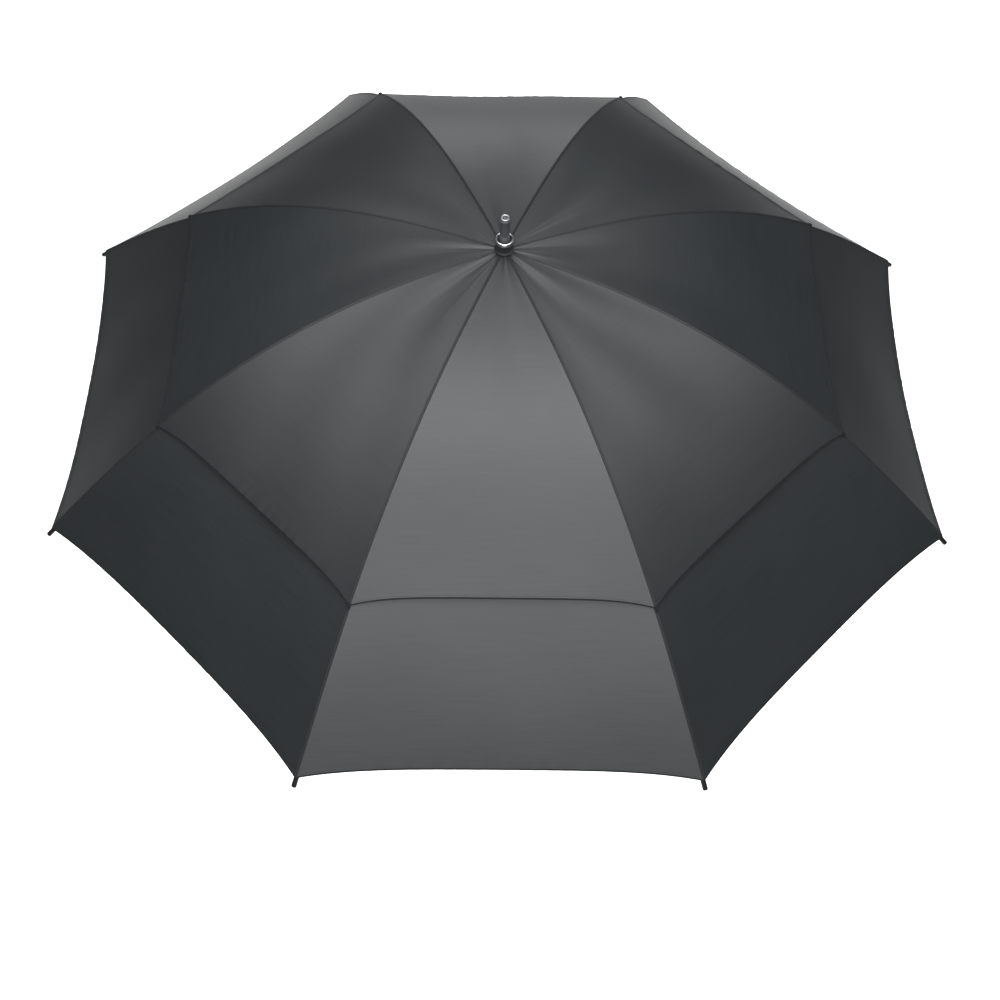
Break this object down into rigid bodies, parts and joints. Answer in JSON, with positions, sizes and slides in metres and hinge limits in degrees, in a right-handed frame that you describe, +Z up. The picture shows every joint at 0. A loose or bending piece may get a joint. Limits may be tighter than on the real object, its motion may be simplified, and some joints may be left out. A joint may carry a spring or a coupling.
{
  "type": "golf umbrella",
  "caption": "Open golf umbrella with a vented double canopy, a straight shaft and grip, and a rib frame that folds down when its runner slides.",
  "frame": {"origin": "the middle of the hand grip, on the shaft's axis", "axes": "+Z runs up the shaft to the ferrule; -Y is the front, the middle of one canopy panel; +X is to the right seen from the front"},
  "size_m": [1.244, 1.244, 1.0113],
  "materials": {
    "canopy_cloth": "satin pongee",
    "black_plastic": "moulded satin",
    "gunmetal": "satin gunmetal",
    "chrome": "polished",
    "fibreglass": "satin black",
    "black_steel": "satin black",
    "spring_steel": "drawn wire",
    "foam_grip": "closed-cell foam"
  },
  "bodies": {
    "shaft": {"shaft": "fibreglass", "notch": "black_plastic", "notch_ring": "spring_steel", "ferrule": "gunmetal", "ferrule_cup": "chrome", "ferrule_collar": "black_plastic", "handle_grip": "foam_grip", "handle_cap": "black_plastic"},
    "runner": {"runner": "black_plastic"},
    "runner_button": {"runner_button": "black_plastic"},
    "top_catch": {"top_catch": "spring_steel"},
    "bottom_catch": {"bottom_catch": "spring_steel"},
    "inner_arm_1": {"inner_rib_1": "fibreglass", "upper_canopy_1": "canopy_cloth"},
    "outer_arm_1": {"outer_rib_1": "fibreglass", "rib_tip_1": "black_plastic", "lower_canopy_1": "canopy_cloth"},
    "stretcher_arm_1": {"stretcher_1": "black_steel"},
    "inner_arm_2": {"inner_rib_2": "fibreglass", "upper_canopy_2": "canopy_cloth"},
    "outer_arm_2": {"outer_rib_2": "fibreglass", "rib_tip_2": "black_plastic", "lower_canopy_2": "canopy_cloth"},
    "stretcher_arm_2": {"stretcher_2": "black_steel"},
    "inner_arm_3": {"inner_rib_3": "fibreglass", "upper_canopy_3": "canopy_cloth"},
    "outer_arm_3": {"outer_rib_3": "fibreglass", "rib_tip_3": "black_plastic", "lower_canopy_3": "canopy_cloth"},
    "stretcher_arm_3": {"stretcher_3": "black_steel"},
    "inner_arm_4": {"inner_rib_4": "fibreglass", "upper_canopy_4": "canopy_cloth"},
    "outer_arm_4": {"outer_rib_4": "fibreglass", "rib_tip_4": "black_plastic", "lower_canopy_4": "canopy_cloth"},
    "stretcher_arm_4": {"stretcher_4": "black_steel"},
    "inner_arm_5": {"inner_rib_5": "fibreglass", "upper_canopy_5": "canopy_cloth"},
    "outer_arm_5": {"outer_rib_5": "fibreglass", "rib_tip_5": "black_plastic", "lower_canopy_5": "canopy_cloth"},
    "stretcher_arm_5": {"stretcher_5": "black_steel"},
    "inner_arm_6": {"inner_rib_6": "fibreglass", "upper_canopy_6": "canopy_cloth"},
    "outer_arm_6": {"outer_rib_6": "fibreglass", "rib_tip_6": "black_plastic", "lower_canopy_6": "canopy_cloth"},
    "stretcher_arm_6": {"stretcher_6": "black_steel"},
    "inner_arm_7": {"inner_rib_7": "fibreglass", "upper_canopy_7": "canopy_cloth"},
    "outer_arm_7": {"outer_rib_7": "fibreglass", "rib_tip_7": "black_plastic", "lower_canopy_7": "canopy_cloth"},
    "stretcher_arm_7": {"stretcher_7": "black_steel"},
    "inner_arm_8": {"inner_rib_8": "fibreglass", "upper_canopy_8": "canopy_cloth"},
    "outer_arm_8": {"outer_rib_8": "fibreglass", "rib_tip_8": "black_plastic", "lower_canopy_8": "canopy_cloth"},
    "stretcher_arm_8": {"stretcher_8": "black_steel"}
  },
  "joints": [
    {"name": "runner_slide", "type": "slide", "parent": "shaft", "child": "runner", "axis": [0, 0, 1], "range_m": [-0.5039, 0], "deforming": ["upper_canopy_1", "upper_canopy_2", "upper_canopy_3", "upper_canopy_4", "upper_canopy_5", "upper_canopy_6", "upper_canopy_7", "upper_canopy_8", "lower_canopy_1", "lower_canopy_2", "lower_canopy_3", "lower_canopy_4", "lower_canopy_5", "lower_canopy_6", "lower_canopy_7", "lower_canopy_8"]},
    {"name": "button_press", "type": "slide", "parent": "runner", "child": "runner_button", "axis": [0, 1, 0], "range_m": [0, 0.0015], "stiffness_N_per_m": 1000},
    {"name": "top_catch_press", "type": "hinge", "parent": "shaft", "child": "top_catch", "pos_m": [0, -0.0043, 0.60613], "axis": [-1, 0, 0], "range_deg": [0, 5.6]},
    {"name": "bottom_catch_press", "type": "hinge", "parent": "shaft", "child": "bottom_catch", "pos_m": [0, -0.0043, 0.10222], "axis": [-1, 0, 0], "range_deg": [0, 5.6]},
    {"name": "rib_fold_1", "type": "hinge", "parent": "shaft", "child": "inner_arm_1", "pos_m": [0.00459, -0.01109, 0.865], "axis": [0.9239, 0.3827, 0], "range_deg": [0, 76.01]},
    {"name": "rib_flex_1", "type": "hinge", "parent": "inner_arm_1", "child": "outer_arm_1", "pos_m": [0.1413, -0.34113, 0.79297], "axis": [0.9239, 0.3827, 0], "range_deg": [-22.3, 0]},
    {"name": "stretcher_fold_1", "type": "hinge", "parent": "inner_arm_1", "child": "stretcher_arm_1", "pos_m": [0.13568, -0.32756, 0.7922], "axis": [0.9239, 0.3827, 0], "range_deg": [-141.17, 0]},
    {"name": "rib_fold_2", "type": "hinge", "parent": "shaft", "child": "inner_arm_2", "pos_m": [0.01109, -0.00459, 0.865], "axis": [0.3827, 0.9239, 0], "range_deg": [0, 76.01]},
    {"name": "rib_flex_2", "type": "hinge", "parent": "inner_arm_2", "child": "outer_arm_2", "pos_m": [0.34113, -0.1413, 0.79297], "axis": [0.3827, 0.9239, 0], "range_deg": [-22.3, 0]},
    {"name": "stretcher_fold_2", "type": "hinge", "parent": "inner_arm_2", "child": "stretcher_arm_2", "pos_m": [0.32756, -0.13568, 0.7922], "axis": [0.3827, 0.9239, 0], "range_deg": [-141.17, 0]},
    {"name": "rib_fold_3", "type": "hinge", "parent": "shaft", "child": "inner_arm_3", "pos_m": [0.01109, 0.00459, 0.865], "axis": [-0.3827, 0.9239, 0], "range_deg": [0, 76.01]},
    {"name": "rib_flex_3", "type": "hinge", "parent": "inner_arm_3", "child": "outer_arm_3", "pos_m": [0.34113, 0.1413, 0.79297], "axis": [-0.3827, 0.9239, 0], "range_deg": [-22.3, 0]},
    {"name": "stretcher_fold_3", "type": "hinge", "parent": "inner_arm_3", "child": "stretcher_arm_3", "pos_m": [0.32756, 0.13568, 0.7922], "axis": [-0.3827, 0.9239, 0], "range_deg": [-141.17, 0]},
    {"name": "rib_fold_4", "type": "hinge", "parent": "shaft", "child": "inner_arm_4", "pos_m": [0.00459, 0.01109, 0.865], "axis": [-0.9239, 0.3827, 0], "range_deg": [0, 76.01]},
    {"name": "rib_flex_4", "type": "hinge", "parent": "inner_arm_4", "child": "outer_arm_4", "pos_m": [0.1413, 0.34113, 0.79297], "axis": [-0.9239, 0.3827, 0], "range_deg": [-22.3, 0]},
    {"name": "stretcher_fold_4", "type": "hinge", "parent": "inner_arm_4", "child": "stretcher_arm_4", "pos_m": [0.13568, 0.32756, 0.7922], "axis": [-0.9239, 0.3827, 0], "range_deg": [-141.17, 0]},
    {"name": "rib_fold_5", "type": "hinge", "parent": "shaft", "child": "inner_arm_5", "pos_m": [-0.00459, 0.01109, 0.865], "axis": [-0.9239, -0.3827, 0], "range_deg": [0, 76.01]},
    {"name": "rib_flex_5", "type": "hinge", "parent": "inner_arm_5", "child": "outer_arm_5", "pos_m": [-0.1413, 0.34113, 0.79297], "axis": [-0.9239, -0.3827, 0], "range_deg": [-22.3, 0]},
    {"name": "stretcher_fold_5", "type": "hinge", "parent": "inner_arm_5", "child": "stretcher_arm_5", "pos_m": [-0.13568, 0.32756, 0.7922], "axis": [-0.9239, -0.3827, 0], "range_deg": [-141.17, 0]},
    {"name": "rib_fold_6", "type": "hinge", "parent": "shaft", "child": "inner_arm_6", "pos_m": [-0.01109, 0.00459, 0.865], "axis": [-0.3827, -0.9239, 0], "range_deg": [0, 76.01]},
    {"name": "rib_flex_6", "type": "hinge", "parent": "inner_arm_6", "child": "outer_arm_6", "pos_m": [-0.34113, 0.1413, 0.79297], "axis": [-0.3827, -0.9239, 0], "range_deg": [-22.3, 0]},
    {"name": "stretcher_fold_6", "type": "hinge", "parent": "inner_arm_6", "child": "stretcher_arm_6", "pos_m": [-0.32756, 0.13568, 0.7922], "axis": [-0.3827, -0.9239, 0], "range_deg": [-141.17, 0]},
    {"name": "rib_fold_7", "type": "hinge", "parent": "shaft", "child": "inner_arm_7", "pos_m": [-0.01109, -0.00459, 0.865], "axis": [0.3827, -0.9239, 0], "range_deg": [0, 76.01]},
    {"name": "rib_flex_7", "type": "hinge", "parent": "inner_arm_7", "child": "outer_arm_7", "pos_m": [-0.34113, -0.1413, 0.79297], "axis": [0.3827, -0.9239, 0], "range_deg": [-22.3, 0]},
    {"name": "stretcher_fold_7", "type": "hinge", "parent": "inner_arm_7", "child": "stretcher_arm_7", "pos_m": [-0.32756, -0.13568, 0.7922], "axis": [0.3827, -0.9239, 0], "range_deg": [-141.17, 0]},
    {"name": "rib_fold_8", "type": "hinge", "parent": "shaft", "child": "inner_arm_8", "pos_m": [-0.00459, -0.01109, 0.865], "axis": [0.9239, -0.3827, 0], "range_deg": [0, 76.01]},
    {"name": "rib_flex_8", "type": "hinge", "parent": "inner_arm_8", "child": "outer_arm_8", "pos_m": [-0.1413, -0.34113, 0.79297], "axis": [0.9239, -0.3827, 0], "range_deg": [-22.3, 0]},
    {"name": "stretcher_fold_8", "type": "hinge", "parent": "inner_arm_8", "child": "stretcher_arm_8", "pos_m": [-0.13568, -0.32756, 0.7922], "axis": [0.9239, -0.3827, 0], "range_deg": [-141.17, 0]}
  ],
  "couplings": [
    {"joint": "top_catch_press", "follows": "button_press", "rad_per_m": 64},
    {"joint": "bottom_catch_press", "follows": "button_press", "rad_per_m": 64},
    {"joint": "rib_fold_1", "follows": "runner_slide", "rad_per_m": -2.6324},
    {"joint": "rib_flex_1", "follows": "runner_slide", "rad_per_m": 0.77238},
    {"joint": "stretcher_fold_1", "follows": "runner_slide", "rad_per_m": 4.8894},
    {"joint": "rib_fold_2", "follows": "runner_slide", "rad_per_m": -2.6324},
    {"joint": "rib_flex_2", "follows": "runner_slide", "rad_per_m": 0.77238},
    {"joint": "stretcher_fold_2", "follows": "runner_slide", "rad_per_m": 4.8894},
    {"joint": "rib_fold_3", "follows": "runner_slide", "rad_per_m": -2.6324},
    {"joint": "rib_flex_3", "follows": "runner_slide", "rad_per_m": 0.77238},
    {"joint": "stretcher_fold_3", "follows": "runner_slide", "rad_per_m": 4.8894},
    {"joint": "rib_fold_4", "follows": "runner_slide", "rad_per_m": -2.6324},
    {"joint": "rib_flex_4", "follows": "runner_slide", "rad_per_m": 0.77238},
    {"joint": "stretcher_fold_4", "follows": "runner_slide", "rad_per_m": 4.8894},
    {"joint": "rib_fold_5", "follows": "runner_slide", "rad_per_m": -2.6324},
    {"joint": "rib_flex_5", "follows": "runner_slide", "rad_per_m": 0.77238},
    {"joint": "stretcher_fold_5", "follows": "runner_slide", "rad_per_m": 4.8894},
    {"joint": "rib_fold_6", "follows": "runner_slide", "rad_per_m": -2.6324},
    {"joint": "rib_flex_6", "follows": "runner_slide", "rad_per_m": 0.77238},
    {"joint": "stretcher_fold_6", "follows": "runner_slide", "rad_per_m": 4.8894},
    {"joint": "rib_fold_7", "follows": "runner_slide", "rad_per_m": -2.6324},
    {"joint": "rib_flex_7", "follows": "runner_slide", "rad_per_m": 0.77238},
    {"joint": "stretcher_fold_7", "follows": "runner_slide", "rad_per_m": 4.8894},
    {"joint": "rib_fold_8", "follows": "runner_slide", "rad_per_m": -2.6324},
    {"joint": "rib_flex_8", "follows": "runner_slide", "rad_per_m": 0.77238},
    {"joint": "stretcher_fold_8", "follows": "runner_slide", "rad_per_m": 4.8894}
  ]
}
